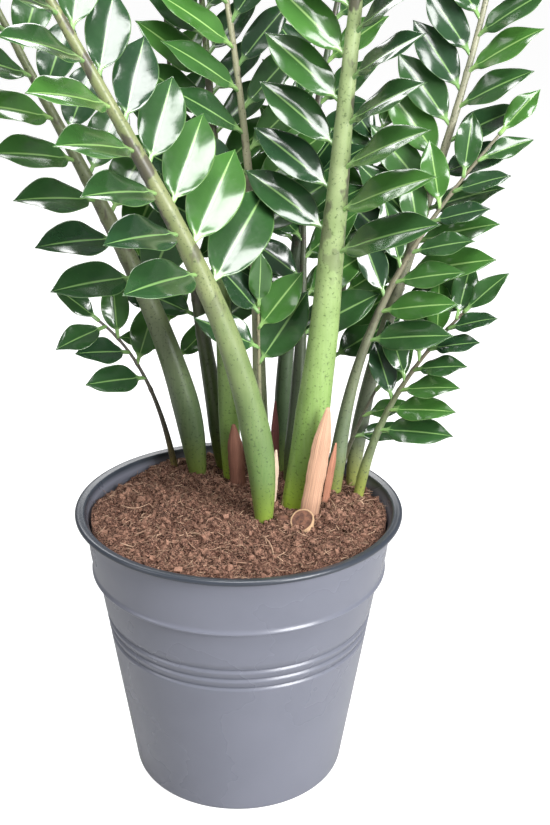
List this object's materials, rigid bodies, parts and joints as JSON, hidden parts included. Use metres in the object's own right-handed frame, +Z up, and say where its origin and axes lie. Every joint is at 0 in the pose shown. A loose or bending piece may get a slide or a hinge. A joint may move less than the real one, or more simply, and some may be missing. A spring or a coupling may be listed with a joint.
{
  "type": "potted zz plant",
  "caption": "Potted ZZ plant: arching stalks with two rows of glossy pointed leaflets, rooted in fibrous brown potting mix in a round tapered plastic pot with a rolled rim and grooved band.",
  "frame": {"origin": "centre of the pot's flat resting face, on the floor", "axes": "+Z up along the pot's axis; -Y is the front, the side the cut stub and the widest sheath are on; +X is to the right seen from the front"},
  "size_m": [0.5073, 0.2753, 0.9504],
  "materials": {
    "pot_plastic": "satin, injection moulded, grey-blue",
    "potting_mix": "loose, fibrous, matte",
    "plant_tissue": "glossy waxy leaflets on smooth fleshy stalks",
    "dry_sheath": "dry, papery, fibrous",
    "dry_cut": "dry cut plant tissue, matte"
  },
  "bodies": {
    "root": {"pot": "pot_plastic", "soil": "potting_mix", "leaf_front_left": "plant_tissue", "leaf_back_left": "plant_tissue", "leaf_centre": "plant_tissue", "leaf_left_slim": "plant_tissue", "leaf_middle_back": "plant_tissue", "leaf_middle_pale": "plant_tissue", "leaf_back_centre": "plant_tissue", "leaf_centre_dark": "plant_tissue", "leaf_right_front": "plant_tissue", "leaf_right_tall": "plant_tissue", "leaf_right_low": "plant_tissue", "leaf_small_right": "plant_tissue", "leaf_back_right": "plant_tissue", "shoot_left_low": "plant_tissue", "shoot_left_back": "plant_tissue", "shoot_centre": "plant_tissue", "sheath_front": "dry_sheath", "sheath_left": "dry_sheath", "sheath_back_left": "dry_sheath", "sheath_right": "dry_sheath", "sheath_back": "dry_sheath", "cut_stub": "dry_cut", "root_knob": "dry_cut"}
  },
  "joints": []
}
